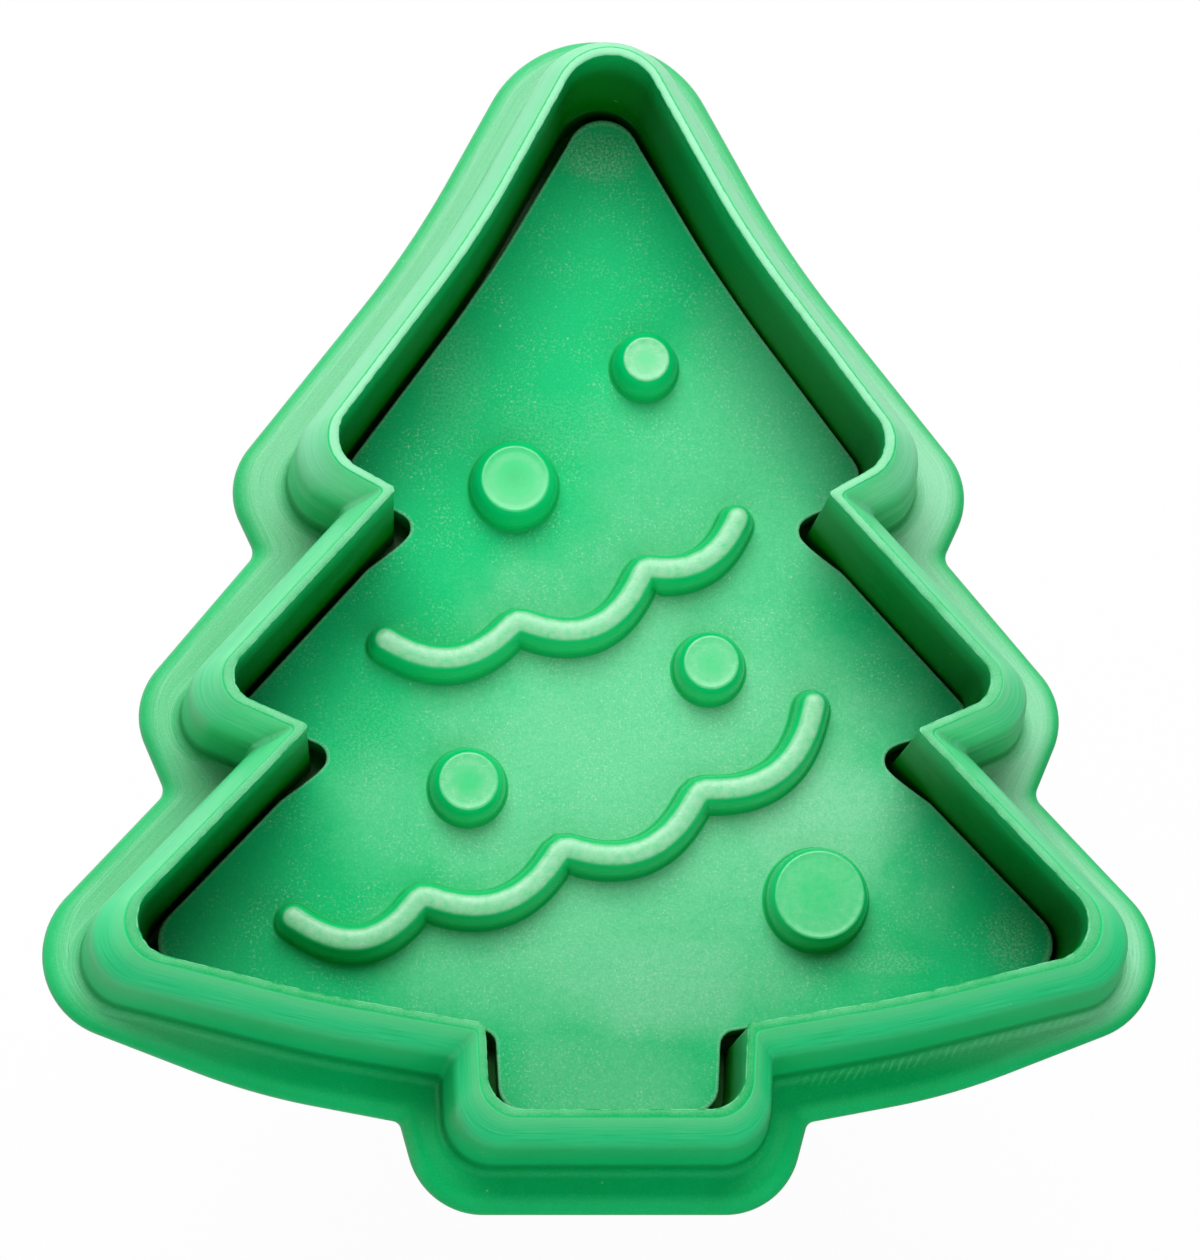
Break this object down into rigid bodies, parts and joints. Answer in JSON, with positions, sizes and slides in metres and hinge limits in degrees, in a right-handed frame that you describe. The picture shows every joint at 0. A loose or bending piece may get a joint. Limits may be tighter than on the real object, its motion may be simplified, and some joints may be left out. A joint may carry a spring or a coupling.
{
  "type": "plunger cookie cutter",
  "caption": "Fir-tree cookie cutter with a flanged cutting wall and a spring-return plunger whose stamp plate embosses baubles and garlands and ejects the biscuit.",
  "frame": {"origin": "on the table under the middle of the flange's outline, with the push knob's flat face down", "axes": "+Z along the plunger towards the cutting rim, +Y towards the tree's top, +X to the right of the tree seen from the cutting side"},
  "size_m": [0.0658, 0.0716, 0.055],
  "materials": {
    "body_green": "satin moulded polypropylene",
    "plate_green": "fine spark-eroded grain",
    "stem_green": "satin moulded polypropylene",
    "knob_green": "satin moulded polypropylene",
    "spring_steel": "drawn spring wire",
    "screw_steel": "zinc plated"
  },
  "bodies": {
    "cutter": {"cutter_body": "body_green", "return_spring": "spring_steel"},
    "plunger": {"stamp_plate": "plate_green", "plunger_stem": "stem_green", "push_knob": "knob_green", "stem_screw": "screw_steel", "knob_cap": "knob_green"}
  },
  "joints": [
    {"name": "plunger_slide", "type": "slide", "parent": "cutter", "child": "plunger", "axis": [0, 0, 1], "range_m": [0, 0.01], "stiffness_N_per_m": 300, "springref_m": -0.008, "deforming": ["return_spring"]}
  ]
}
